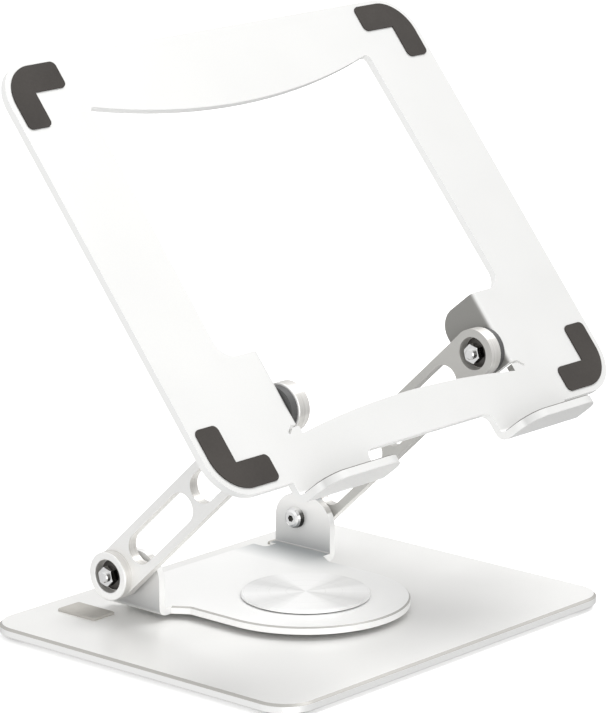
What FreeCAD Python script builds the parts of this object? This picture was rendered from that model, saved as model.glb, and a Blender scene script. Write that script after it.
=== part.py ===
import FreeCAD, Part
import os
import math
import Sketcher
from FreeCAD import Vector, Rotation, Placement

# Laptop stand with a swivelling base, two parallel arms on friction hinges
# and a tilting tray.  Millimetres, +Z up, +X to the user's right, the user
# stands at -Y.  The origin is on the swivel axis, in the plane of the feet.

doc = FreeCAD.newDocument("laptop_stand")

# ------------------------------------------------------------------ sheet
sheet = doc.addObject("Spreadsheet::Sheet", "Sheet")
DIMS = [
    ("foot_height", 2.0, "rubber feet and centre pad, thickness"),
    ("foot_radius", 11.0, "round foot, radius"),
    ("foot_side", 97.0, "foot centre to the middle plane"),
    ("foot_front", 74.0, "front foot centre, ahead of the axis"),
    ("foot_rear", 79.5, "rear foot centre, behind the axis"),
    ("pad_radius", 35.0, "centre pad, radius"),
    ("base_half", 112.5, "base plate, half width"),
    ("base_front", 89.5, "base plate, front edge ahead of the axis"),
    ("base_rear", 95.0, "base plate, rear edge behind the axis"),
    ("base_thick", 4.5, "base plate, thickness"),
    ("base_corner", 16.0, "base plate, corner radius"),
    ("base_bevel", 1.1, "base plate, bright bevel on the top edge"),
    ("bumper_in", 64.7, "bumper, inner side"),
    ("bumper_out", 78.8, "bumper, outer side"),
    ("bumper_front", 58.8, "bumper, front side"),
    ("bumper_rear", 82.3, "bumper, rear side"),
    ("bumper_tall", 1.2, "bumper, height above the base"),
    ("hub_radius", 29.75, "swivel disc, radius"),
    ("hub_boss", 18.0, "swivel boss, radius"),
    ("hub_thick", 1.5, "swivel disc, thickness"),
    ("slip_thick", 0.5, "slip washer, thickness"),
    ("slip_radius", 29.1, "slip washer, radius"),
    ("ring_radius", 38.0, "thrust ring, radius"),
    ("ring_gap", 2.5, "thrust ring, thickness"),
    ("bush_wall", 2.0, "swivel bush, wall"),
    ("run_gap", 0.05, "running clearance, radial"),
    ("screw_ring", 11.0, "hub screws, pitch radius"),
    ("screw_radius", 2.0, "hub screw, M4 shank radius"),
    ("screw_head", 3.75, "hub screw, countersunk head radius"),
    ("screw_reach", 9.0, "hub screw, whole length"),
    ("sheet_thick", 3.5, "bracket and tray sheet"),
    ("neck_half", 48.0, "bracket, neck half width and nose radius"),
    ("neck_back", 27.5, "bracket, where the neck widens"),
    ("bracket_rear", 74.5, "bracket, rear edge"),
    ("ear_face", 57.0, "bracket ear, inner face"),
    ("ear_front", 35.0, "bracket ear, front edge"),
    ("ear_rear", 69.6, "bracket ear, rear edge"),
    ("ear_top", 38.0, "bracket ear, top edge"),
    ("ear_round", 12.8, "bracket ear, top corner radius"),
    ("bend_inner", 0.6, "bend, inner radius"),
    ("notch_in", 46.5, "bend relief, inner side"),
    ("notch_out", 53.0, "bend relief, outer side"),
    ("notch_front", 66.5, "bend relief, front end"),
    ("low_back", 56.4, "lower pivots, behind the axis"),
    ("low_tall", 26.7, "lower pivots, height"),
    ("top_ahead", 46.25, "upper pivots, ahead of the axis"),
    ("top_tall", 122.6, "upper pivots, height"),
    ("arm_face", 62.5, "arm, inner face"),
    ("arm_thick", 5.0, "arm, plate thickness"),
    ("boss_thick", 9.8, "arm, lower boss thickness"),
    ("boss_upper", 6.8, "arm, upper boss thickness"),
    ("arm_half", 11.2, "arm, half width"),
    ("boss_radius", 11.3, "arm, boss radius"),
    ("arm_span", 140.48, "arm, pivot to pivot"),
    ("slot_half", 7.3, "arm window, half width"),
    ("slot_one_a", 15.0, "lower window, near end"),
    ("slot_one_b", 64.3, "lower window, far end"),
    ("slot_two_a", 67.3, "upper window, near end"),
    ("slot_two_b", 125.2, "upper window, far end"),
    ("recess_radius", 7.7, "nut recess, radius"),
    ("pin_radius", 3.0, "pivot screw, shoulder radius"),
    ("thread_radius", 2.5, "pivot screw, M5 thread radius"),
    ("head_radius", 5.25, "pivot screw, head radius"),
    ("head_tall", 4.0, "pivot screw, head height"),
    ("socket_half", 1.5, "pivot screw, hexagon socket half width"),
    ("sleeve_radius", 4.0, "arm bush, outer radius"),
    ("washer_radius", 10.3, "friction washer, radius"),
    ("nut_half", 4.0, "M5 nut, half width across flats"),
    ("nut_tall", 4.0, "M5 nut, height"),
    ("spring_tall", 2.0, "spring washer, height when clamped"),
    ("tip_out", 2.7, "pivot screw, tip beyond the face of the arm"),
    ("tray_half", 136.0, "tray, half width"),
    ("tray_top", 180.0, "tray, rear edge from the pivot along the slope"),
    ("tray_low", 36.0, "tray, front edge from the pivot along the slope"),
    ("tray_lift", 4.86, "tray, underside above the pivot"),
    ("tray_tilt", 51.11, "tray, slope at rest in degrees"),
    ("tray_round", 20.0, "tray, corner radius"),
    ("bar_front", 31.5, "tray, front edge between the hooks"),
    ("hook_in", 43.0, "hook, inner side"),
    ("hook_out", 93.5, "hook, outer side"),
    ("hook_front", 46.3, "hook, front face"),
    ("hook_tall", 20.0, "hook, height above the tray"),
    ("hook_round", 11.0, "hook, top corner radius"),
    ("open_half", 93.2, "tray opening, half width at the rear"),
    ("open_wide", 95.2, "tray opening, half width ahead of the ears"),
    ("open_curve", 9.0, "tray opening, lower corner radius"),
    ("open_top", 153.4, "tray opening, top corners"),
    ("open_mid", 141.6, "tray opening, top edge in the middle"),
    ("open_step", 25.5, "tray opening, step ahead of the ears"),
    ("open_low", 16.0, "tray opening, front corners"),
    ("open_arch", 12.4, "tray opening, front edge in the middle"),
    ("tear_face", 73.0, "tray ear, inner face"),
    ("tear_front", 11.2, "tray ear, front edge"),
    ("tear_rear", 25.5, "tray ear, rear edge"),
    ("tear_drop", 17.0, "tray ear, lower edge below the pivot"),
    ("tear_round", 10.0, "tray ear, lower corner radius"),
    ("skin", 0.6, "silicone pad thickness"),
    ("lining", 0.5, "hook lining thickness"),
    ("skin_out", 132.7, "corner pad, outer side"),
    ("skin_in", 119.0, "corner pad, inner edge of the long leg"),
    ("skin_end", 99.6, "corner pad, end of the short leg"),
]
for row, (alias, value, note) in enumerate(DIMS, 1):
    sheet.set("A%d" % row, note)
    sheet.set("B%d" % row, repr(value))
    sheet.setAlias("B%d" % row, alias)
doc.recompute()


class Q:
    """A length with its spreadsheet formula."""

    def __init__(self, value, text):
        self.v = float(value)
        self.f = text

    @staticmethod
    def of(other):
        return other if isinstance(other, Q) else Q(other, "%.6f" % other)

    def __add__(self, o):
        o = Q.of(o)
        return Q(self.v + o.v, "(%s + %s)" % (self.f, o.f))

    __radd__ = __add__

    def __sub__(self, o):
        o = Q.of(o)
        return Q(self.v - o.v, "(%s - %s)" % (self.f, o.f))

    def __rsub__(self, o):
        return Q.of(o) - self

    def __mul__(self, o):
        o = Q.of(o)
        return Q(self.v * o.v, "(%s * %s)" % (self.f, o.f))

    __rmul__ = __mul__

    def __truediv__(self, o):
        o = Q.of(o)
        return Q(self.v / o.v, "(%s / %s)" % (self.f, o.f))

    def __neg__(self):
        return Q(-self.v, "(-1 * %s)" % self.f)


def D(alias):
    return Q(sheet.get(alias), "Sheet." + alias)


# ---------------------------------------------------------------- helpers
def body(label):
    b = doc.addObject("PartDesign::Body", label)
    b.Label = label
    return b


def origin_item(b, role):
    for item in b.Origin.OriginFeatures:
        if item.Role == role:
            return item


def sketch(b, name, role="XY_Plane", offset=None):
    s = b.newObject("Sketcher::SketchObject", name)
    s.AttachmentSupport = [(origin_item(b, role), "")]
    s.MapMode = "FlatFace"
    if offset is not None:
        s.AttachmentOffset = Placement(Vector(0, 0, offset.v), Rotation())
        s.setExpression("AttachmentOffset.Base.z", offset.f)
    return s


def fix(s, geo, pos, x, y):
    for kind, q, axis in (("DistanceX", Q.of(x), -2), ("DistanceY", Q.of(y), -1)):
        if abs(q.v) < 1e-9:
            s.addConstraint(Sketcher.Constraint("PointOnObject", geo, pos, axis))
        else:
            c = s.addConstraint(Sketcher.Constraint(kind, geo, pos, q.v))
            s.setExpression("Constraints[%d]" % c, q.f)


def outline(s, nodes):
    """Closed outline. A node is (x, y) or (x, y, radius, turn): with a radius
    the run to the next node is an arc, turn +1 counter-clockwise."""
    n = len(nodes)
    first = s.GeometryCount
    ends = []
    for i in range(n):
        a, b = nodes[i], nodes[(i + 1) % n]
        ax, ay, bx, by = Q.of(a[0]).v, Q.of(a[1]).v, Q.of(b[0]).v, Q.of(b[1]).v
        if len(a) == 2:
            s.addGeometry(Part.LineSegment(Vector(ax, ay, 0), Vector(bx, by, 0)), False)
            ends.append((1, 2))
            continue
        r, turn = Q.of(a[2]).v, a[3]
        dx, dy = bx - ax, by - ay
        chord = math.hypot(dx, dy)
        up = math.sqrt(max(r * r - chord * chord / 4, 0.0))
        cx = (ax + bx) / 2 - turn * dy / chord * up
        cy = (ay + by) / 2 + turn * dx / chord * up
        a0 = math.atan2(ay - cy, ax - cx)
        a1 = math.atan2(by - cy, bx - cx)
        if turn < 0:
            a0, a1 = a1, a0
        if a1 < a0:
            a1 += 2 * math.pi
        circle = Part.Circle(Vector(cx, cy, 0), Vector(0, 0, 1), r)
        s.addGeometry(Part.ArcOfCircle(circle, a0, a1), False)
        ends.append((1, 2) if turn > 0 else (2, 1))
    for i in range(n):
        j = (i + 1) % n
        s.addConstraint(Sketcher.Constraint("Coincident", first + i, ends[i][1],
                                            first + j, ends[j][0]))
    for i in range(n):
        fix(s, first + i, ends[i][0], nodes[i][0], nodes[i][1])
        if len(nodes[i]) > 2:
            q = Q.of(nodes[i][2])
            c = s.addConstraint(Sketcher.Constraint("Radius", first + i, q.v))
            s.setExpression("Constraints[%d]" % c, q.f)


def circle(s, x, y, r):
    x, y, r = Q.of(x), Q.of(y), Q.of(r)
    g = s.addGeometry(Part.Circle(Vector(x.v, y.v, 0), Vector(0, 0, 1), r.v), False)
    c = s.addConstraint(Sketcher.Constraint("Radius", g, r.v))
    s.setExpression("Constraints[%d]" % c, r.f)
    if abs(x.v) < 1e-9 and abs(y.v) < 1e-9:
        s.addConstraint(Sketcher.Constraint("Coincident", g, 3, -1, 1))
    else:
        fix(s, g, 3, x, y)


def slot(s, x0, x1, half):
    """Round-ended window along X between the outer ends x0 and x1."""
    outline(s, [(x0 + half, -half), (x1 - half, -half, half * 1.0001, 1),
                (x1 - half, half), (x0 + half, half, half * 1.0001, 1)])


def pad(b, s, length, name, back=False, both=False):
    f = b.newObject("PartDesign::Pad", name)
    f.Profile = s
    f.Length = Q.of(length).v
    f.setExpression("Length", Q.of(length).f)
    f.Reversed = back
    if both:
        f.SideType = "Symmetric"
    doc.recompute()
    return f


def pocket(b, s, length, name, back=False, both=False):
    doc.recompute()
    before = b.Shape.Volume
    f = b.newObject("PartDesign::Pocket", name)
    f.Profile = s
    f.Length = Q.of(length).v
    f.setExpression("Length", Q.of(length).f)
    f.Reversed = back
    if both:
        f.SideType = "Symmetric"
    doc.recompute()
    if not b.Shape.Volume < before - 1e-3:
        raise RuntimeError("%s cuts nothing" % name)
    return f


def turn(b, s, name, axis="V_Axis"):
    f = b.newObject("PartDesign::Revolution", name)
    f.Profile = s
    f.ReferenceAxis = (s, [axis])
    f.Angle = 360
    doc.recompute()
    return f


def groove(b, s, name, axis="V_Axis"):
    before = b.Shape.Volume
    f = b.newObject("PartDesign::Groove", name)
    f.Profile = s
    f.ReferenceAxis = (s, [axis])
    f.Angle = 360
    doc.recompute()
    if not b.Shape.Volume < before - 1e-3:
        raise RuntimeError("%s cuts nothing" % name)
    return f


def mirrored(b, originals, name, role="YZ_Plane"):
    f = b.newObject("PartDesign::Mirrored", name)
    f.Originals = originals
    f.MirrorPlane = (origin_item(b, role), [""])
    b.Tip = f
    doc.recompute()
    return f


def edges(b, test):
    """Names of the edges whose middle point and direction pass the test."""
    doc.recompute()
    found = []
    for i, e in enumerate(b.Tip.Shape.Edges, 1):
        a, z = e.FirstParameter, e.LastParameter
        mid = e.valueAt((a + z) / 2)
        d = e.tangentAt((a + z) / 2)
        if test(mid, d, e):
            found.append("Edge%d" % i)
    return found


def dress(b, kind, names, size, name):
    if not names:
        raise RuntimeError("%s found no edge" % name)
    f = b.newObject("PartDesign::" + kind, name)
    f.Base = (b.Tip if b.Tip != f else f.BaseFeature, names)
    prop = "Radius" if kind == "Fillet" else "Size"
    setattr(f, prop, Q.of(size).v)
    f.setExpression(prop, Q.of(size).f)
    doc.recompute()
    return f


def round_edges(b, test, size, name):
    return dress(b, "Fillet", edges(b, test), size, name)


def bevel_edges(b, test, size, name):
    return dress(b, "Chamfer", edges(b, test), size, name)


def near(a, b, tol=0.02):
    return abs(a - b) < tol


BODIES = []


def keep(b, *rest):
    BODIES.append(b)
    return b


# ------------------------------------------------------------- base group
foot_h = D("foot_height")
top_of_base = foot_h + D("base_thick")

# base_plate: flat rectangular plate with rounded corners and a bevelled rim,
# drilled and countersunk from below for the three hub screws.
base = keep(body("base_plate"))
s = sketch(base, "base_outline", "XY_Plane", foot_h)
outline(s, [(-D("base_half"), -D("base_front")), (D("base_half"), -D("base_front")),
            (D("base_half"), D("base_rear")), (-D("base_half"), D("base_rear"))])
pad(base, s, D("base_thick"), "base_slab")
round_edges(base, lambda p, d, e: abs(d.z) > 0.99, D("base_corner"), "base_corners")
s = sketch(base, "base_holes", "XY_Plane", foot_h)
for k in range(3):
    a = math.radians(90 + 120 * k)
    circle(s, D("screw_ring") * math.cos(a), D("screw_ring") * math.sin(a),
           D("screw_radius") + 0.1)
pocket(base, s, D("base_thick"), "base_drill", back=True)
bevel_edges(base, lambda p, d, e: near(p.z, foot_h.v) and math.hypot(p.x, p.y) < 20,
            D("screw_head") - D("screw_radius") - 0.1, "base_sinks")
bevel_edges(base, lambda p, d, e: near(p.z, top_of_base.v) and math.hypot(p.x, p.y) > 40,
            D("base_bevel"), "base_rim")
bevel_edges(base, lambda p, d, e: near(p.z, foot_h.v) and math.hypot(p.x, p.y) > 40,
            D("base_bevel") / 2, "base_underside_rim")

# four round rubber feet, each bonded under a corner of the plate
for label, sx, sy, where in (("foot_front_left", -1, -1, "foot_front"),
                             ("foot_front_right", 1, -1, "foot_front"),
                             ("foot_rear_left", -1, 1, "foot_rear"),
                             ("foot_rear_right", 1, 1, "foot_rear")):
    foot = keep(body(label))
    s = sketch(foot, label + "_round")
    circle(s, 0, 0, D("foot_radius"))
    pad(foot, s, foot_h, label + "_disc")
    bevel_edges(foot, lambda p, d, e: near(p.z, 0), 0.4, label + "_rim")
    foot.Placement = Placement(Vector(sx * D("foot_side").v, sy * D(where).v, 0), Rotation())

# round rubber pad under the swivel; it covers the hub screws
cpad = keep(body("center_pad"))
s = sketch(cpad, "center_pad_round")
circle(s, 0, 0, D("pad_radius"))
pad(cpad, s, foot_h, "center_pad_disc")
bevel_edges(cpad, lambda p, d, e: near(p.z, 0), 0.4, "center_pad_rim")

# two rubber bumpers on the plate, on which the folded tray lands
for label, side in (("bumper_left", -1), ("bumper_right", 1)):
    bump = keep(body(label))
    s = sketch(bump, label + "_outline", "XY_Plane", top_of_base)
    outline(s, [(D("bumper_in") * side, D("bumper_front")),
                (D("bumper_out") * side, D("bumper_front")),
                (D("bumper_out") * side, D("bumper_rear")),
                (D("bumper_in") * side, D("bumper_rear"))])
    pad(bump, s, D("bumper_tall"), label + "_block")
    round_edges(bump, lambda p, d, e: abs(d.z) > 0.99, 1.2, label + "_corners")
    bevel_edges(bump, lambda p, d, e: near(p.z, (top_of_base + D("bumper_tall")).v),
                0.4, label + "_rim")

# swivel_hub: turned boss with a wide flat disc on top, bolted to the plate
hub = keep(body("swivel_hub"))
plate_low = top_of_base + D("ring_gap")
plate_top = plate_low + D("sheet_thick")
disc_low = plate_top + D("slip_thick")
disc_top = disc_low + D("hub_thick")
s = sketch(hub, "hub_profile", "XZ_Plane")
outline(s, [(0, top_of_base), (D("hub_boss"), top_of_base), (D("hub_boss"), disc_low),
            (D("hub_radius"), disc_low), (D("hub_radius"), disc_top - 0.4),
            (D("hub_radius") - 0.4, disc_top), (0, disc_top)])
turn(hub, s, "hub_turned")
s = sketch(hub, "hub_holes", "XY_Plane", top_of_base)
for k in range(3):
    a = math.radians(90 + 120 * k)
    circle(s, D("screw_ring") * math.cos(a), D("screw_ring") * math.sin(a),
           D("screw_radius") + 0.05)
pocket(hub, s, 5.2, "hub_taps", back=True)

# hub_screws: three countersunk screws from below
screws = keep(body("hub_screws"))
s = sketch(screws, "hub_screw_profile", "XZ_Plane")
rad, head = D("screw_radius"), D("screw_head")
outline(s, [(D("screw_ring") - 0, foot_h), (D("screw_ring") + head - 0.1, foot_h),
            (D("screw_ring") + rad - 0.02, foot_h + head - rad - 0.08),
            (D("screw_ring") + rad - 0.02, foot_h + D("screw_reach") - 0.5),
            (D("screw_ring") + rad - 0.5, foot_h + D("screw_reach")),
            (D("screw_ring") - 0, foot_h + D("screw_reach"))])
line = s.addGeometry(Part.LineSegment(Vector(D("screw_ring").v, 0, 0),
                                      Vector(D("screw_ring").v, 20, 0)), True)
fix(s, line, 1, D("screw_ring"), 0)
fix(s, line, 2, D("screw_ring"), 20)
one = turn(screws, s, "hub_screw", "Axis0")
ring = screws.newObject("PartDesign::PolarPattern", "hub_screw_ring")
ring.Originals = [one]
ring.Axis = (origin_item(screws, "Z_Axis"), [""])
ring.Angle = 360
ring.Occurrences = 3
screws.Tip = ring
screws.Placement = Placement(Vector(0, 0, 0), Rotation(Vector(0, 0, 1), 90))
doc.recompute()

# thrust_ring: low-friction ring between the plate and the bracket
ring_body = keep(body("thrust_ring"))
s = sketch(ring_body, "thrust_ring_flat", "XY_Plane", top_of_base)
circle(s, 0, 0, D("ring_radius"))
circle(s, 0, 0, D("hub_boss") + 0.3)
pad(ring_body, s, D("ring_gap"), "thrust_ring_disc")
bevel_edges(ring_body, lambda p, d, e: e.BoundBox.XLength > 60, 0.3, "thrust_ring_rim")

# -------------------------------------------------------- turntable group
# swivel_bracket: one folded sheet, a round-nosed tongue with two ears
br = keep(body("swivel_bracket"))
neck, thick, ear = D("neck_half"), D("sheet_thick"), D("ear_face")
out = ear + thick
s = sketch(br, "bracket_flat", "XY_Plane", plate_low)
outline(s, [(-neck, 0, neck, 1), (0, -neck, neck, 1), (neck, 0), (neck, D("neck_back")),
            (neck + 5.0, D("ear_front")), (out, D("ear_front")),
            (out, D("ear_rear")), (D("notch_out"), D("ear_rear")),
            (D("notch_out"), D("notch_front")), (D("notch_in"), D("notch_front")),
            (D("notch_in"), D("bracket_rear")), (-D("notch_in"), D("bracket_rear")),
            (-D("notch_in"), D("notch_front")), (-D("notch_out"), D("notch_front")),
            (-D("notch_out"), D("ear_rear")), (-out, D("ear_rear")),
            (-out, D("ear_front")), (-neck - 5.0, D("ear_front")),
            (-neck, D("neck_back"))])
circle(s, 0, 0, D("hub_boss") + D("bush_wall"))
pad(br, s, thick, "bracket_tongue")
for side, tag in ((1, "right"), (-1, "left")):
    s = sketch(br, "bracket_ear_" + tag, "YZ_Plane", ear * side)
    r = D("ear_round")
    outline(s, [(D("ear_front"), plate_low), (D("ear_rear"), plate_low),
                (D("ear_rear"), D("ear_top") - r, r, 1), (D("ear_rear") - r, D("ear_top")),
                (D("ear_front") + r, D("ear_top"), r, 1), (D("ear_front"), D("ear_top") - r)])
    pad(br, s, thick, "bracket_ear_%s_wall" % tag, back=(side < 0))
s = sketch(br, "bracket_pivots", "YZ_Plane")
circle(s, D("low_back"), D("low_tall"), D("pin_radius") + 0.1)
pocket(br, s, 200, "bracket_pivot_holes", both=True)
round_edges(br, lambda p, d, e: near(abs(p.x), out.v) and near(p.z, plate_low.v) and abs(d.y) > 0.99,
            D("bend_inner") + thick, "bracket_bend_out")
round_edges(br, lambda p, d, e: near(abs(p.x), ear.v) and near(p.z, plate_top.v) and abs(d.y) > 0.99,
            D("bend_inner"), "bracket_bend_in")
round_edges(br, lambda p, d, e: abs(d.z) > 0.99 and near(abs(p.x), neck.v, 0.1) and near(p.y, D("neck_back").v, 0.1),
            3.0, "bracket_neck_round")
round_edges(br, lambda p, d, e: abs(d.z) > 0.99 and near(abs(p.x), D("notch_in").v, 0.1),
            1.5, "bracket_rear_round")
bevel_edges(br, lambda p, d, e: near(p.z, plate_top.v) and abs(p.x) < 50 and
            (p.y < 27 or p.y > 70) and math.hypot(p.x, p.y) > 40, 0.7, "bracket_rim")

# swivel_bush: plastic sleeve pressed into the bracket, runs on the boss
sb = keep(body("swivel_bush"))
s = sketch(sb, "swivel_bush_flat", "XY_Plane", plate_low)
circle(s, 0, 0, D("hub_boss") + D("bush_wall"))
circle(s, 0, 0, D("hub_boss") + D("run_gap"))
pad(sb, s, thick, "swivel_bush_sleeve")

# slip_washer: thin dark washer between the bracket and the disc
sw = keep(body("slip_washer"))
s = sketch(sw, "slip_washer_flat", "XY_Plane", plate_top)
circle(s, 0, 0, D("slip_radius"))
circle(s, 0, 0, D("hub_boss") + D("run_gap"))
pad(sw, s, D("slip_thick"), "slip_washer_disc")


def pair(label, profile, at, extra=None):
    """Two equal turned pieces on a pivot line, one each side of the middle.
    The profile is in (distance from the middle plane, radius)."""
    b = keep(body(label))
    sk = sketch(b, label + "_profile", "XY_Plane")
    outline(sk, profile)
    f = turn(b, sk, label + "_turned", "H_Axis")
    feats = [f]
    if extra:
        feats += extra(b)
    mirrored(b, feats, label + "_other_side")
    b.Placement = Placement(Vector(*at), Rotation())
    return b


low_at = (0, D("low_back").v, D("low_tall").v)
top_at = (0, -D("top_ahead").v, D("top_tall").v)
face, at_, bt, ub = D("arm_face"), D("arm_thick"), D("boss_thick"), D("boss_upper")
pin, thr, hr, hh = D("pin_radius"), D("thread_radius"), D("head_radius"), D("head_tall")


def socket(name, x, back):
    def cut(b):
        sk = sketch(b, name, "YZ_Plane", x)
        q = D("socket_half")
        pts = []
        for k in range(6):
            a = math.radians(60 * k)
            pts.append((q * (2 / math.sqrt(3) * math.cos(a)), q * (2 / math.sqrt(3) * math.sin(a))))
        outline(sk, pts)
        return [pocket(b, sk, 1.7, name + "_hex", back=back)]
    return cut


# lower pivot screws: domed head inside each bracket ear, tip in the arm's
# outer recess
x_head, tip = ear - hh, D("tip_out")
pair("lower_hinge_screws",
     [(x_head, 0), (x_head, hr - 2.2), (x_head + 0.7, hr - 1.05), (x_head + 1.6, hr - 0.3),
      (ear - 0.5, hr), (ear, hr), (ear, pin), (face + at_ - 0.1, pin),
      (face + at_ - 0.1, thr), (face + bt + tip - 0.5, thr), (face + bt + tip, thr - 0.5),
      (face + bt + tip, 0)], low_at, socket("lower_screw_socket", x_head, True))

# upper pivot screws: domed head outside each tray ear, tip in the arm's
# inner recess
tear_out = D("tear_face") + thick
x_cap = tear_out + hh
pair("upper_hinge_screws",
     [(face - tip, 0), (face - tip, thr - 0.5), (face - tip + 0.5, thr), (face + at_ + 0.1, thr),
      (face + at_ + 0.1, pin), (tear_out, pin), (tear_out, hr), (tear_out + 0.5, hr),
      (x_cap - 1.6, hr - 0.3), (x_cap - 0.7, hr - 1.05), (x_cap, hr - 2.2), (x_cap, 0)],
     top_at, socket("upper_screw_socket", x_cap, False))


def nut(label, x0, at):
    """Hexagon nuts with chamfered corners, one each side."""
    b = keep(body(label))
    q = D("nut_half")
    sk = sketch(b, label + "_hex", "YZ_Plane", x0)
    pts = []
    for k in range(6):
        a = math.radians(60 * k + 15)
        pts.append((q * (2 / math.sqrt(3) * math.cos(a)), q * (2 / math.sqrt(3) * math.sin(a))))
    outline(sk, pts)
    circle(sk, 0, 0, thr)
    f = pad(b, sk, D("nut_tall"), label + "_prism")
    sk = sketch(b, label + "_cut", "XY_Plane")
    x1 = x0 + D("nut_tall")
    outline(sk, [(x0 - 0.2, q - 0.1), (x0 + 0.55, q + 1.2), (x0 - 0.2, q + 1.2)])
    outline(sk, [(x1 + 0.2, q - 0.1), (x1 + 0.2, q + 1.2), (x1 - 0.55, q + 1.2)])
    g = groove(b, sk, label + "_corners", "H_Axis")
    mirrored(b, [f, g], label + "_other_side")
    b.Placement = Placement(Vector(*at), Rotation())
    return b


spring = D("spring_tall")
nut("lower_hinge_nuts", face + at_ + spring, low_at)
nut("upper_hinge_nuts", face + at_ - spring - D("nut_tall"), top_at)

# cone spring washers between each nut and the floor of its recess
x0 = face + at_
pair("lower_spring_washers", [(x0, 7.0), (x0 + 0.9, 7.0), (x0 + spring, thr + 0.2),
                              (x0 + spring - 0.9, thr + 0.2)], low_at)
pair("upper_spring_washers", [(x0, 7.0), (x0 - spring + 0.9, thr + 0.2),
                              (x0 - spring, thr + 0.2), (x0 - 0.9, 7.0)], top_at)

# -------------------------------------------------------------- arm group
for label, side in (("left_arm", -1), ("right_arm", 1)):
    arm = keep(body(label))
    # own frame: X from the lower to the upper pivot, Z outwards
    s = sketch(arm, label + "_bar")
    span, half = D("arm_span"), D("arm_half")
    outline(s, [(0, -half), (span, -half), (span, half), (0, half)])
    slot(s, D("slot_one_a"), D("slot_one_b"), D("slot_half"))
    slot(s, D("slot_two_a"), D("slot_two_b"), D("slot_half"))
    pad(arm, s, at_, label + "_bar_plate")
    s = sketch(arm, label + "_bosses")
    circle(s, 0, 0, D("boss_radius"))
    pad(arm, s, bt, label + "_lower_boss")
    s = sketch(arm, label + "_upper_boss_round")
    circle(s, span, 0, D("boss_radius"))
    pad(arm, s, ub, label + "_upper_boss")
    s = sketch(arm, label + "_lower_recess", "XY_Plane", at_)
    circle(s, 0, 0, D("recess_radius"))
    pocket(arm, s, bt - at_, label + "_lower_nut_recess", back=True)
    s = sketch(arm, label + "_upper_recess", "XY_Plane")
    circle(s, span, 0, D("recess_radius"))
    pocket(arm, s, at_, label + "_upper_nut_recess", back=True)
    s = sketch(arm, label + "_bores", "XY_Plane")
    circle(s, 0, 0, D("sleeve_radius"))
    circle(s, span, 0, D("sleeve_radius"))
    pocket(arm, s, bt, label + "_bush_bores", back=True)
    L_ = span.v
    round_edges(arm, lambda p, d, e: (near(p.z, bt.v) or near(p.z, ub.v)) and e.BoundBox.XLength > 15
                and e.BoundBox.ZLength < 0.01, 0.6, label + "_boss_rims")
    turn_to = Rotation(Vector(0, -math.cos(math.radians(43.053)), math.sin(math.radians(43.053))),
                       Vector(0, 0, 0), Vector(side, 0, 0), "ZXY")
    arm.Placement = Placement(Vector(side * face.v, low_at[1], low_at[2]), turn_to)

# bushes pressed into the arms, running on the screw shoulders
pair("lower_hinge_bushes", [(face, pin + D("run_gap")), (face + at_, pin + D("run_gap")),
                            (face + at_, D("sleeve_radius")), (face, D("sleeve_radius"))], low_at)
pair("upper_hinge_bushes", [(face + at_, pin + D("run_gap")), (face + ub, pin + D("run_gap")),
                            (face + ub, D("sleeve_radius")), (face + at_, D("sleeve_radius"))], top_at)
# friction washers between the arms and the ears
pair("lower_friction_washers", [(out, pin + 0.08), (face, pin + 0.08),
                                (face, D("washer_radius")), (out, D("washer_radius"))], low_at)
pair("upper_friction_washers", [(face + ub, pin + 0.08), (D("tear_face"), pin + 0.08),
                                (D("tear_face"), D("washer_radius")),
                                (face + ub, D("washer_radius"))], top_at)

# ------------------------------------------------------------- tray group
tilt = D("tray_tilt").v
tray_place = Placement(Vector(*top_at), Rotation(Vector(1, 0, 0), tilt))
lift = D("tray_lift")
deck = lift + thick

# own frame: Y up the slope from the pivots, Z away from the tray's back
tray = keep(body("tray"))
s = sketch(tray, "tray_flat", "XY_Plane", lift)
w, hk = D("tray_half"), D("hook_out")
outline(s, [(-w, D("tray_top")), (-w, -D("tray_low")), (-hk, -D("tray_low")),
            (-hk, -D("hook_front")), (-D("hook_in"), -D("hook_front")),
            (-D("hook_in"), -D("bar_front")), (D("hook_in"), -D("bar_front")),
            (D("hook_in"), -D("hook_front")), (hk, -D("hook_front")),
            (hk, -D("tray_low")), (w, -D("tray_low")), (w, D("tray_top"))])
ow, te, tf = D("open_half"), D("tear_face"), D("open_low")
ol, oc = D("open_wide"), D("open_curve")
outline(s, [(-te, -tf, 530.0, -1), (te, -tf), (te, D("open_step")),
            (ol - oc, D("open_step"), oc, 1), (ol, D("open_step") + oc),
            (ow, D("open_top"), 373.0, -1), (-ow, D("open_top")),
            (-ol, D("open_step") + oc, oc, 1), (-ol + oc, D("open_step")), (-te, D("open_step"))])
pad(tray, s, thick, "tray_sheet")
s = sketch(tray, "tray_hooks", "XY_Plane", lift)
for side in (-1, 1):
    outline(s, [(D("hook_in") * side, -D("hook_front")), (hk * side, -D("hook_front")),
                (hk * side, -D("hook_front") + thick), (D("hook_in") * side, -D("hook_front") + thick)])
pad(tray, s, D("hook_tall") + thick, "tray_hook_walls")
tf_, tr_ = D("tear_front"), D("tear_rear")
s = sketch(tray, "tray_ears", "XY_Plane", deck)
for side in (-1, 1):
    outline(s, [(te * side, -tf_), ((te + thick) * side, -tf_),
                ((te + thick) * side, tr_), (te * side, tr_)])
pad(tray, s, deck + D("tear_drop"), "tray_ear_walls", back=True)
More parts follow.
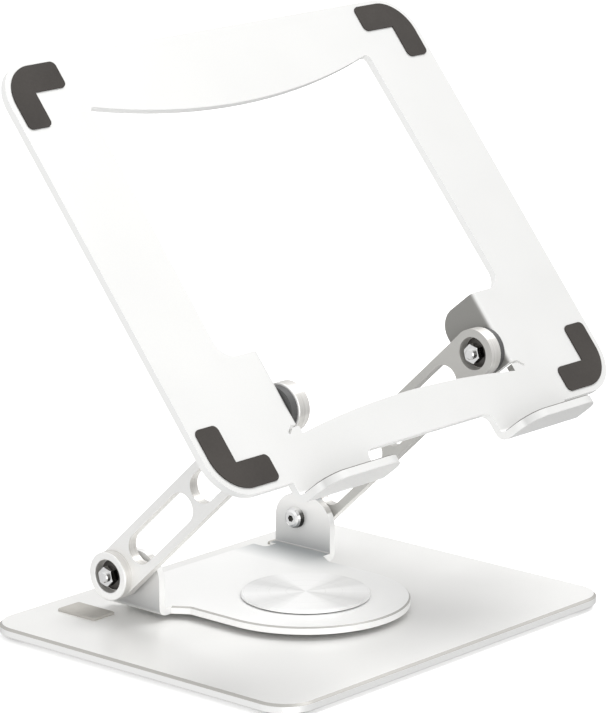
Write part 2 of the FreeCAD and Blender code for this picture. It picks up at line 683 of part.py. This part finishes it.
# slanted bend reliefs at the front end of each ear
s = sketch(tray, "tray_reliefs", "XY_Plane", deck)
for side in (-1, 1):
    outline(s, [((te - 1) * side, -tf_), ((te + 4.8) * side, -tf_), ((te + 8.2) * side, -tf_ - 3.0),
                ((te + 7.4) * side, -tf_ - 3.9), ((te + 4.3) * side, -tf_ - 1.2),
                ((te - 1) * side, -tf_ - 1.2)])
pocket(tray, s, thick, "tray_relief_cuts")
s = sketch(tray, "tray_pivots", "YZ_Plane")
circle(s, 0, 0, pin + 0.1)
pocket(tray, s, 300, "tray_pivot_holes", both=True)
round_edges(tray, lambda p, d, e: abs(d.x) > 0.99 and near(p.y, -D("hook_front").v) and near(p.z, lift.v),
            5.5, "hook_bend_out")
round_edges(tray, lambda p, d, e: abs(d.x) > 0.99 and near(p.y, -D("hook_front").v + thick.v) and near(p.z, deck.v),
            2.0, "hook_bend_in")
round_edges(tray, lambda p, d, e: abs(d.y) > 0.99 and near(p.z, (deck + D("hook_tall")).v),
            D("hook_round"), "hook_crests")
round_edges(tray, lambda p, d, e: abs(d.x) > 0.99 and near(p.z, -D("tear_drop").v),
            D("tear_round"), "tray_ear_corners")
round_edges(tray, lambda p, d, e: abs(d.y) > 0.99 and near(abs(p.x), te.v) and near(p.z, deck.v)
            and -12.5 < p.y < 25.6, 2.2, "tray_ear_bend_out")
round_edges(tray, lambda p, d, e: abs(d.y) > 0.99 and near(abs(p.x), te.v + thick.v) and near(p.z, lift.v),
            1.0, "tray_ear_bend_in")
# shallow spot faces that clear the screw heads beside the ears
for side, tag in ((1, "right"), (-1, "left")):
    s = sketch(tray, "tray_spot_" + tag, "YZ_Plane", (te + thick) * side)
    circle(s, 0, 0, hr + 0.35)
    pocket(tray, s, hh + 0.4, "tray_spot_face_" + tag, back=(side > 0))
round_edges(tray, lambda p, d, e: abs(d.z) > 0.99 and near(abs(p.x), w.v), D("tray_round"), "tray_corners")
round_edges(tray, lambda p, d, e: abs(d.z) > 0.99 and near(abs(p.x), D("hook_in").v) and near(p.y, -D("bar_front").v),
            4.0, "tray_recess_round")
round_edges(tray, lambda p, d, e: abs(d.z) > 0.99 and near(abs(p.x), ow.v) and near(p.y, D("open_top").v),
            2.5, "tray_open_round")
tray.Placement = tray_place

# silicone corner pads, an L on each corner of the tray
so, si, se = D("skin_out"), D("skin_in"), D("skin_end")
for label, side, rows in (("pad_rear_left", -1, (177.7, 164.5, 147.5)),
                          ("pad_rear_right", 1, (177.7, 164.5, 147.5)),
                          ("pad_front_left", -1, (-33.0, -20.3, -2.0)),
                          ("pad_front_right", 1, (-33.0, -20.3, -2.0))):
    lp = keep(body(label))
    s = sketch(lp, label + "_outline", "XY_Plane", deck)
    y0, y1, y2 = rows
    pts = [(se, y0), (so, y0), (so, y2), (si, y2), (si, y1), (se, y1)]
    outline(s, [(px * side, py) for px, py in pts])
    pad(lp, s, D("skin"), label + "_sheet")
    round_edges(lp, lambda p, d, e: abs(d.z) > 0.99 and near(abs(p.x), so.v) and near(p.y, y0),
                D("tray_round") - 2.8, label + "_outer_round")
    round_edges(lp, lambda p, d, e: abs(d.z) > 0.99 and not (near(abs(p.x), so.v, 18) and near(p.y, y0, 18)),
                2.8, label + "_small_rounds")
    lp.Placement = tray_place

# silicone linings on the inner face of each hook
for label, side in (("hook_lining_left", -1), ("hook_lining_right", 1)):
    ln = keep(body(label))
    y = -D("hook_front") + thick
    s = sketch(ln, label + "_outline", "XY_Plane", deck + 2.1)
    outline(s, [((D("hook_in") + 1.0) * side, y), ((hk - 1.0) * side, y),
                ((hk - 1.0) * side, y + D("lining")), ((D("hook_in") + 1.0) * side, y + D("lining"))])
    pad(ln, s, D("hook_tall") - 2.6, label + "_strip")
    round_edges(ln, lambda p, d, e: abs(d.y) > 0.99 and near(p.z, (deck + D("hook_tall") - 0.5).v),
                D("hook_round") - 1.0, label + "_crest")
    ln.Placement = tray_place

doc.recompute()

# ------------------------------------------------------------------ check
for obj in doc.Objects:
    bad = [x for x in obj.State if x in ("Invalid", "Error")]
    if bad:
        raise RuntimeError("%s is %s" % (obj.Label, bad))
for b in BODIES:
    if b.Shape.isNull() or not b.Shape.isValid():
        raise RuntimeError("%s has no valid shape" % b.Label)
    if not b.Shape.Solids:
        raise RuntimeError("%s has no solid" % b.Label)

os.makedirs("parts", exist_ok=True)
for b in BODIES:
    b.Shape.exportStep("parts/%s.step" % b.Label)
    box = b.Shape.BoundBox
    print("%-24s solids %d  volume %10.1f  x %.2f..%.2f  y %.2f..%.2f  z %.2f..%.2f" % (
        b.Label, len(b.Shape.Solids), b.Shape.Volume, box.XMin, box.XMax,
        box.YMin, box.YMax, box.ZMin, box.ZMax))
print("nodes", len(BODIES))
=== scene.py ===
import math

import bmesh
import bpy
from mathutils import Matrix, Vector

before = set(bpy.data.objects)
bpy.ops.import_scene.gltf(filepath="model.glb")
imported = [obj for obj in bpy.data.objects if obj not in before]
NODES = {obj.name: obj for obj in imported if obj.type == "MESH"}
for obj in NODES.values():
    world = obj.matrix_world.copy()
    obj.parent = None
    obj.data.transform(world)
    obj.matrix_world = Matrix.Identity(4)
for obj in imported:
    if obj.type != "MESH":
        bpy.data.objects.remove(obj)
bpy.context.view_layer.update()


# ------------------------------------------------------------- materials
class Mat:
    """Small helper that builds one node material."""

    def __init__(self, name):
        self.m = bpy.data.materials.new(name)
        self.m.use_nodes = True
        self.t = self.m.node_tree
        self.t.nodes.clear()
        self.out = self.n("ShaderNodeOutputMaterial")
        self.b = self.n("ShaderNodeBsdfPrincipled")
        self.l(self.b.outputs[0], self.out.inputs[0])
        self.geo = None

    def n(self, kind, **kw):
        node = self.t.nodes.new(kind)
        for k, v in kw.items():
            setattr(node, k, v)
        return node

    def l(self, a, b):
        self.t.links.new(a, b)

    def set(self, **kw):
        for k, v in kw.items():
            self.b.inputs[k.replace("_", " ")].default_value = v

    def coords(self, scale=(1, 1, 1), rot=(0, 0, 0), loc=(0, 0, 0)):
        c = self.n("ShaderNodeTexCoord")
        mp = self.n("ShaderNodeMapping")
        mp.inputs["Scale"].default_value = scale
        mp.inputs["Rotation"].default_value = rot
        mp.inputs["Location"].default_value = loc
        self.l(c.outputs["Object"], mp.inputs["Vector"])
        return mp.outputs[0]

    def noise(self, vec, scale, detail=3.0, rough=0.55):
        nz = self.n("ShaderNodeTexNoise")
        nz.inputs["Scale"].default_value = scale
        nz.inputs["Detail"].default_value = detail
        nz.inputs["Roughness"].default_value = rough
        self.l(vec, nz.inputs["Vector"])
        return nz.outputs["Fac"]

    def ramp(self, fac, stops):
        r = self.n("ShaderNodeValToRGB")
        el = r.color_ramp.elements
        while len(el) < len(stops):
            el.new(0.5)
        for e, (p, c) in zip(el, stops):
            e.position = p
            e.color = c if len(c) == 4 else (*c, 1)
        self.l(fac, r.inputs["Fac"])
        return r.outputs["Color"]

    def range(self, fac, lo, hi, a=0.3, b=0.7):
        r = self.n("ShaderNodeMapRange")
        r.inputs["From Min"].default_value = a
        r.inputs["From Max"].default_value = b
        r.inputs["To Min"].default_value = lo
        r.inputs["To Max"].default_value = hi
        self.l(fac, r.inputs["Value"])
        return r.outputs["Result"]

    def mix(self, fac, a, b):
        m = self.n("ShaderNodeMix", data_type="RGBA")
        if isinstance(fac, (int, float)):
            m.inputs["Factor"].default_value = fac
        else:
            self.l(fac, m.inputs["Factor"])
        for v, s in ((a, m.inputs[6]), (b, m.inputs[7])):
            if isinstance(v, tuple):
                s.default_value = v if len(v) == 4 else (*v, 1)
            else:
                self.l(v, s)
        return m.outputs[2]

    def math(self, op, a, b=0.0):
        m = self.n("ShaderNodeMath", operation=op)
        for v, s in ((a, m.inputs[0]), (b, m.inputs[1])):
            if isinstance(v, (int, float)):
                s.default_value = v
            else:
                self.l(v, s)
        return m.outputs[0]

    def bump(self, height, strength, distance=0.0002, normal=None):
        bp = self.n("ShaderNodeBump")
        bp.inputs["Strength"].default_value = strength
        bp.inputs["Distance"].default_value = distance
        self.l(height, bp.inputs["Height"])
        if normal is not None:
            self.l(normal, bp.inputs["Normal"])
        return bp.outputs[0]


def aluminium(name, tone, metal=0.6, rough=(0.30, 0.42), grain_scale=1500, grain=0.05,
              brush=None, spec=0.5):
    m = Mat(name)
    v = m.coords()
    cloud = m.noise(v, 9.0, 2.0)
    fine = m.noise(v, grain_scale, 2.0, 0.7)
    smudge = m.noise(m.coords(scale=(1, 1, 1), loc=(3.1, 1.7, 0.4)), 38.0, 4.0, 0.6)
    lo = tuple(c * 0.965 for c in tone)
    hi = tuple(min(1.0, c * 1.015) for c in tone)
    base = m.ramp(cloud, [(0.30, lo), (0.70, hi)])
    speck = m.ramp(fine, [(0.35, (0.93, 0.93, 0.93)), (0.65, (1, 1, 1))])
    mul = m.n("ShaderNodeMix", data_type="RGBA", blend_type="MULTIPLY")
    mul.inputs["Factor"].default_value = 0.3
    m.l(base, mul.inputs[6])
    m.l(speck, mul.inputs[7])
    m.l(mul.outputs[2], m.b.inputs["Base Color"])
    r = m.range(smudge, rough[0], rough[1], 0.15, 0.85)
    h = fine
    if brush is not None:
        line = m.noise(m.coords(scale=brush), 1.0, 3.0, 0.6)
        r = m.math("ADD", r, m.range(line, -0.05, 0.05))
        h = m.math("ADD", m.math("MULTIPLY", fine, 0.4), m.math("MULTIPLY", line, 0.8))
    m.l(r, m.b.inputs["Roughness"])
    m.l(m.bump(h, grain, 0.0001), m.b.inputs["Normal"])
    m.set(Metallic=metal)
    m.b.inputs["Specular IOR Level"].default_value = spec
    m.base = mul.outputs[2]
    return m


def normals(m):
    """Absolute object-space normal components and the position."""
    c = m.n("ShaderNodeTexCoord")
    nrm = m.n("ShaderNodeSeparateXYZ")
    pos = m.n("ShaderNodeSeparateXYZ")
    m.l(c.outputs["Normal"], nrm.inputs[0])
    m.l(c.outputs["Object"], pos.inputs[0])
    return nrm, pos


def tint(m, fac, tone):
    m.base = m.mix(fac, m.base, tone)
    m.l(m.base, m.b.inputs["Base Color"])


def inner_faces(m, tone):
    """Darker tone on the faces turned to the middle. It stands in for shading, not for a finish."""
    nrm, pos = normals(m)
    inward = m.math("MULTIPLY", m.math("SIGN", pos.outputs[0]), nrm.outputs[0])
    f = m.range(inward, 1.0, 0.0, -0.95, -0.6)
    keep = m.range(m.math("ABSOLUTE", pos.outputs[0]), 0.0, 1.0, 0.020, 0.040)
    tint(m, m.math("MULTIPLY", f, keep), tone)


def side_faces(m, near, far, tone):
    """Upright side faces between two distances from the middle plane."""
    nrm, pos = normals(m)
    x = m.math("ABSOLUTE", pos.outputs[0])
    f = m.range(m.math("ABSOLUTE", nrm.outputs[0]), 0.0, 1.0, 0.6, 0.95)
    f = m.math("MULTIPLY", f, m.range(x, 0.0, 1.0, near - 0.002, near))
    f = m.math("MULTIPLY", f, m.range(x, 1.0, 0.0, far, far + 0.002))
    tint(m, f, tone)


def painted_bevel_shade(m, tone, lo=0.55, hi=0.88):
    """Painted shade: a darker tone on the narrow sloping bevels round a plate."""
    nrm, pos = normals(m)
    f = m.math("MULTIPLY", m.range(nrm.outputs[2], 0.0, 1.0, lo - 0.05, lo),
               m.range(nrm.outputs[2], 1.0, 0.0, hi, hi + 0.05))
    tint(m, f, tone)


def assign(mat, *names):
    for nme in names:
        ob = NODES[nme]
        ob.data.materials.clear()
        ob.data.materials.append(mat.m)


def smooth(ob, angle=30):
    for p in ob.data.polygons:
        p.use_smooth = True
    bm = bmesh.new()
    bm.from_mesh(ob.data)
    lim = math.radians(angle)
    for e in bm.edges:
        if len(e.link_faces) == 2 and e.calc_face_angle(0) > lim:
            e.smooth = False
    bm.to_mesh(ob.data)
    bm.free()


tray_al = aluminium("tray_satin", (0.70, 0.70, 0.69), 0.25, (0.42, 0.55), 1800, 0.03)
t_n, t_p = normals(tray_al)
# painted shade: the tray colour is darkened towards its +X side
painted_right_shade = tray_al.range(t_p.outputs[0], 0.0, 1.0, -0.06, 0.136)
tint(tray_al, tray_al.math("MULTIPLY", painted_right_shade, 0.6), (0.655, 0.655, 0.646))
# painted light: faces square to the deck (edges, hook fronts, ears) get a near-white colour
slope = tray_al.m.node_tree.nodes.new("ShaderNodeVectorMath")
slope.operation = "DOT_PRODUCT"
slope.inputs[1].default_value = (0.0, -math.sin(math.radians(51.11)), math.cos(math.radians(51.11)))
tc = tray_al.n("ShaderNodeTexCoord")
tray_al.l(tc.outputs["Normal"], slope.inputs[0])
painted_edge_light = tray_al.range(tray_al.math("ABSOLUTE", slope.outputs["Value"]), 1.0, 0.0, 0.3, 0.5)
tint(tray_al, painted_edge_light, (0.97, 0.97, 0.96))
# the ears' sides are toned down to match their shaded look; this is no separate finish
side_faces(tray_al, 0.072, 0.079, (0.29, 0.286, 0.272))
base_al = aluminium("base_satin", (0.90, 0.897, 0.882), 0.4, (0.34, 0.42), 1800, 0.02)
brk_al = aluminium("bracket_satin", (0.985, 0.985, 0.975), 0.3, (0.32, 0.40), 1800, 0.01)
b_n, b_p = normals(brk_al)
# the uprights' fade with height stands in for shading
fade = brk_al.ramp(brk_al.range(b_p.outputs[2], 0.0, 1.0, 0.012, 0.034),
                   [(0.0, (0.47, 0.475, 0.475)), (1.0, (0.97, 0.965, 0.95))])
upright = brk_al.range(brk_al.math("ABSOLUTE", b_n.outputs[0]), 0.0, 1.0, 0.6, 0.95)
wide = brk_al.range(brk_al.math("ABSOLUTE", b_p.outputs[0]), 0.0, 1.0, 0.052, 0.056)
brk_al.base = brk_al.mix(brk_al.math("MULTIPLY", upright, wide), brk_al.base, fade)
brk_al.l(brk_al.base, brk_al.b.inputs["Base Color"])
# a painted stand-in, on the +X side only, for the dark reflection at the foot of that ear
foot = brk_al.math("MULTIPLY", brk_al.range(b_p.outputs[0], 0.0, 1.0, 0.030, 0.052),
                   brk_al.range(b_p.outputs[1], 0.0, 1.0, 0.012, 0.036))
foot = brk_al.math("MULTIPLY", foot, brk_al.range(b_n.outputs[2], 0.0, 0.85, 0.8, 0.98))
tint(brk_al, foot, (0.36, 0.385, 0.395))
# painted shade on the bevels of the bracket and of the base plate
painted_bevel_shade(brk_al, (0.50, 0.49, 0.47))
painted_bevel_shade(base_al, (0.48, 0.47, 0.445))
# painted light: the base plate's upright sides get a near-white colour
p_n, p_p = normals(base_al)
tint(base_al, base_al.range(base_al.math("ABSOLUTE", p_n.outputs[2]), 1.0, 0.0, 0.2, 0.5), (0.98, 0.98, 0.97))
arm_al = aluminium("arm_satin", (0.97, 0.967, 0.955), 0.45, (0.32, 0.40), 1600, 0.01)
a_n, a_p = normals(arm_al)
turned = arm_al.noise(arm_al.coords(scale=(2600, 60, 60)), 1.0, 2.0, 0.6)
streak = arm_al.ramp(turned, [(0.3, (0.56, 0.54, 0.505)), (0.7, (0.78, 0.765, 0.74))])
rim = arm_al.range(arm_al.math("ABSOLUTE", a_n.outputs[0]), 1.0, 0.0, 0.15, 0.4)
arm_al.base = arm_al.mix(arm_al.math("MULTIPLY", rim, 0.8), arm_al.base, streak)
arm_al.l(arm_al.base, arm_al.b.inputs["Base Color"])
inner_faces(arm_al, (0.56, 0.553, 0.53))
chrome = aluminium("screw_polish", (0.90, 0.90, 0.90), 1.0, (0.06, 0.14), 900, 0.02)
spring_m = aluminium("spring_black", (0.09, 0.085, 0.08), 0.8, (0.3, 0.4), 900, 0.04)
c_n, c_p = normals(chrome)
# painted reflection: the sides of the screws and nuts are bright where turned up and back, near-black where
# turned down
flank = chrome.range(chrome.math("ABSOLUTE", c_n.outputs[0]), 1.0, 0.0, 0.35, 0.85)
painted_facet_reflection = chrome.ramp(chrome.range(chrome.math("ADD", c_n.outputs[2], chrome.math("MULTIPLY", c_n.outputs[1], 0.6)),
                                 0.0, 1.0, -1.0, 1.0),
                    [(0.0, (0.03, 0.029, 0.028)), (0.5, (0.10, 0.098, 0.094)), (0.8, (0.85, 0.85, 0.84))])
chrome.base = chrome.mix(flank, chrome.base, painted_facet_reflection)
chrome.l(chrome.base, chrome.b.inputs["Base Color"])
zinc = aluminium("spring_zinc", (0.55, 0.55, 0.56), 1.0, (0.22, 0.32), 900, 0.04)
brass = aluminium("bush_brass_turned", (0.72, 0.55, 0.28), 1.0, (0.25, 0.35), 900, 0.04)


def spun(name, tone):
    """Lathe-turned face: fine rings about Z, and painted highlights: stretched radial glints painted into the
    colour.
    """
    m = Mat(name)
    v = m.coords()
    sep = m.n("ShaderNodeSeparateXYZ")
    m.l(v, sep.inputs[0])
    rad = m.math("SQRT", m.math("ADD", m.math("MULTIPLY", sep.outputs[0], sep.outputs[0]),
                                m.math("MULTIPLY", sep.outputs[1], sep.outputs[1])))
    comb = m.n("ShaderNodeCombineXYZ")
    m.l(m.math("MULTIPLY", rad, 3200.0), comb.inputs[0])
    rings = m.noise(comb.outputs[0], 1.0, 2.0, 0.7)
    ang = m.math("ARCTAN2", sep.outputs[1], sep.outputs[0])
    # painted highlight: bright radial wedges and rays in the colour stand in for the reflection of the light
    wedge = m.math("POWER", m.math("ABSOLUTE", m.math("COSINE", m.math("ADD", ang, -0.72))), 5.0)
    cross = m.math("POWER", m.math("ABSOLUTE", m.math("COSINE", m.math("ADD", ang, 0.75))), 9.0)
    comb2 = m.n("ShaderNodeCombineXYZ")
    m.l(m.math("MULTIPLY", m.math("COSINE", ang), 3.2), comb2.inputs[0])
    m.l(m.math("MULTIPLY", m.math("SINE", ang), 3.2), comb2.inputs[1])
    rays = m.noise(comb2.outputs[0], 1.0, 3.0, 0.6)
    painted_glints = m.math("ADD", m.math("ADD", wedge, m.math("MULTIPLY", cross, 0.6)),
                  m.math("MULTIPLY", m.math("SUBTRACT", rays, 0.5), 0.9))
    face = m.ramp(painted_glints, [(0.0, tuple(c * 0.80 for c in tone)), (0.75, (1.0, 1.0, 0.995))])
    ring_c = m.ramp(rings, [(0.3, (0.94, 0.94, 0.94)), (0.7, (1, 1, 1))])
    mul = m.n("ShaderNodeMix", data_type="RGBA", blend_type="MULTIPLY")
    mul.inputs["Factor"].default_value = 0.7
    m.l(face, mul.inputs[6])
    m.l(ring_c, mul.inputs[7])
    m.l(mul.outputs[2], m.b.inputs["Base Color"])
    tan = m.n("ShaderNodeTangent", direction_type="RADIAL", axis="Z")
    m.l(tan.outputs[0], m.b.inputs["Tangent"])
    m.l(m.range(rings, 0.26, 0.34), m.b.inputs["Roughness"])
    m.l(m.bump(rings, 0.05, 0.00005), m.b.inputs["Normal"])
    m.set(Metallic=0.25, Anisotropic=0.5)
    return m


disc_al = spun("disc_spun", (0.97, 0.97, 0.96))


def rubber(name, tone, rough=0.75):
    m = Mat(name)
    v = m.coords()
    g = m.noise(v, 900, 3.0, 0.7)
    c = m.noise(v, 40, 3.0)
    lo = tuple(x * 0.9 for x in tone)
    hi = tuple(x * 1.12 for x in tone)
    m.l(m.ramp(c, [(0.3, lo), (0.7, hi)]), m.b.inputs["Base Color"])
    m.l(m.range(g, rough - 0.08, rough + 0.08), m.b.inputs["Roughness"])
    m.l(m.bump(g, 0.25, 0.0001), m.b.inputs["Normal"])
    m.b.inputs["Specular IOR Level"].default_value = 0.2
    return m


silicone = rubber("silicone_charcoal", (0.050, 0.045, 0.041))
lining_m = rubber("lining_grey", (0.20, 0.195, 0.185))
bumper_m = rubber("bumper_grey", (0.44, 0.425, 0.395))
foot_m = rubber("foot_black", (0.05, 0.05, 0.05))
plastic = rubber("plastic_black", (0.03, 0.03, 0.03), 0.5)
washer_m = rubber("washer_dark", (0.10, 0.10, 0.10), 0.5)

assign(tray_al, "tray")
assign(base_al, "base_plate")
assign(brk_al, "swivel_bracket")
assign(arm_al, "left_arm", "right_arm")
assign(disc_al, "swivel_hub")
assign(chrome, "lower_hinge_screws", "upper_hinge_screws", "lower_hinge_nuts", "upper_hinge_nuts")
assign(zinc, "hub_screws")
assign(spring_m, "lower_spring_washers", "upper_spring_washers")
assign(brass, "lower_hinge_bushes", "upper_hinge_bushes")
assign(silicone, "pad_rear_left", "pad_rear_right", "pad_front_left", "pad_front_right")
assign(lining_m, "hook_lining_left", "hook_lining_right")
assign(bumper_m, "bumper_left", "bumper_right")
assign(foot_m, "foot_front_left", "foot_front_right", "foot_rear_left", "foot_rear_right", "center_pad")
assign(plastic, "swivel_bush", "slip_washer", "thrust_ring")
assign(washer_m, "lower_friction_washers", "upper_friction_washers")


# ------------------------------------------------------- stage and light
def mesh_object(name, bm):
    me = bpy.data.meshes.new(name)
    bm.to_mesh(me)
    bm.free()
    ob = bpy.data.objects.new(name, me)
    bpy.context.scene.collection.objects.link(ob)
    return ob


bm = bmesh.new()
bmesh.ops.create_grid(bm, x_segments=8, y_segments=8, size=6.0)
floor = mesh_object("floor", bm)
floor_m = Mat("floor_white")
v = floor_m.coords()
floor_m.l(floor_m.ramp(floor_m.noise(v, 2.0), [(0.3, (0.93, 0.93, 0.93)), (0.7, (0.95, 0.95, 0.95))]),
          floor_m.b.inputs["Base Color"])
floor_m.set(Roughness=0.8, Emission_Color=(1, 1, 1, 1), Emission_Strength=0.35)
floor.data.materials.append(floor_m.m)
floor.visible_diffuse = False
floor.visible_glossy = False


def area(name, loc, target, size, power, color=(1, 1, 1)):
    d = bpy.data.lights.new(name, "AREA")
    d.shape = "RECTANGLE"
    d.size, d.size_y = size
    d.energy = power
    d.color = color
    o = bpy.data.objects.new(name, d)
    o.location = loc
    o.rotation_euler = (Vector(target) - Vector(loc)).to_track_quat("-Z", "Y").to_euler()
    bpy.context.scene.collection.objects.link(o)
    return o


world = bpy.data.worlds.new("studio")
world.use_nodes = True
wt = world.node_tree
wc = wt.nodes.new("ShaderNodeTexCoord")
ws = wt.nodes.new("ShaderNodeSeparateXYZ")
wr = wt.nodes.new("ShaderNodeValToRGB")
wt.links.new(wc.outputs["Generated"], ws.inputs[0])
wm = wt.nodes.new("ShaderNodeMapRange")
wm.inputs["From Min"].default_value = -0.35
wm.inputs["From Max"].default_value = 0.35
wt.links.new(ws.outputs[2], wm.inputs["Value"])
wt.links.new(wm.outputs[0], wr.inputs["Fac"])
wr.color_ramp.elements[0].color = (0.55, 0.55, 0.55, 1)
wr.color_ramp.elements[1].color = (0.78, 0.78, 0.78, 1)
wt.links.new(wr.outputs[0], wt.nodes["Background"].inputs[0])
wx = wt.nodes.new("ShaderNodeMapRange")
wx.inputs["From Min"].default_value = -1.0
wx.inputs["From Max"].default_value = 1.0
wx.inputs["To Min"].default_value = 1.40
wx.inputs["To Max"].default_value = 0.62
wt.links.new(ws.outputs[0], wx.inputs["Value"])
wt.links.new(wx.outputs[0], wt.nodes["Background"].inputs[1])
world.node_tree.nodes["Background"].inputs[1].default_value = 1.0
bpy.context.scene.world = world
bpy.context.scene.view_settings.view_transform = "Standard"
sun_d = bpy.data.lights.new("sun", "SUN")
sun_d.energy = 2.2
sun_d.angle = math.radians(35)
sun = bpy.data.objects.new("sun", sun_d)
sun.rotation_euler = Vector((-0.50, 0.12, -1.0)).to_track_quat("-Z", "Y").to_euler()
bpy.context.scene.collection.objects.link(sun)
fill_d = bpy.data.lights.new("front_fill", "SUN")
fill_d.energy = 1.35
fill_d.angle = math.radians(60)
fill = bpy.data.objects.new("front_fill", fill_d)
fill.rotation_euler = Vector((0.46, 0.88, 0.02)).to_track_quat("-Z", "Y").to_euler()
bpy.context.scene.collection.objects.link(fill)

# ------------------------------------------------------------------ camera
yaw, pitch = math.radians(-48.57), math.radians(-13.88)
d = Vector((-math.sin(yaw) * math.cos(pitch), math.cos(yaw) * math.cos(pitch), math.sin(pitch)))
right = d.cross(Vector((0, 0, 1))).normalized()
up = right.cross(d).normalized()
cam_d = bpy.data.cameras.new("camera")
cam_d.sensor_fit = "HORIZONTAL"
cam_d.sensor_width = 36.0
cam_d.lens = 3974.66 * 36.0 / 610.0
cam_d.clip_start, cam_d.clip_end = 0.05, 30.0
cam = bpy.data.objects.new("camera", cam_d)
cam.matrix_world = Matrix((
    (right.x, up.x, -d.x, -1.3071), (right.y, up.y, -d.y, -1.1531),
    (right.z, up.z, -d.z, 0.5560), (0, 0, 0, 1)))
bpy.context.scene.collection.objects.link(cam)
bpy.context.scene.camera = cam

bpy.context.view_layer.update()
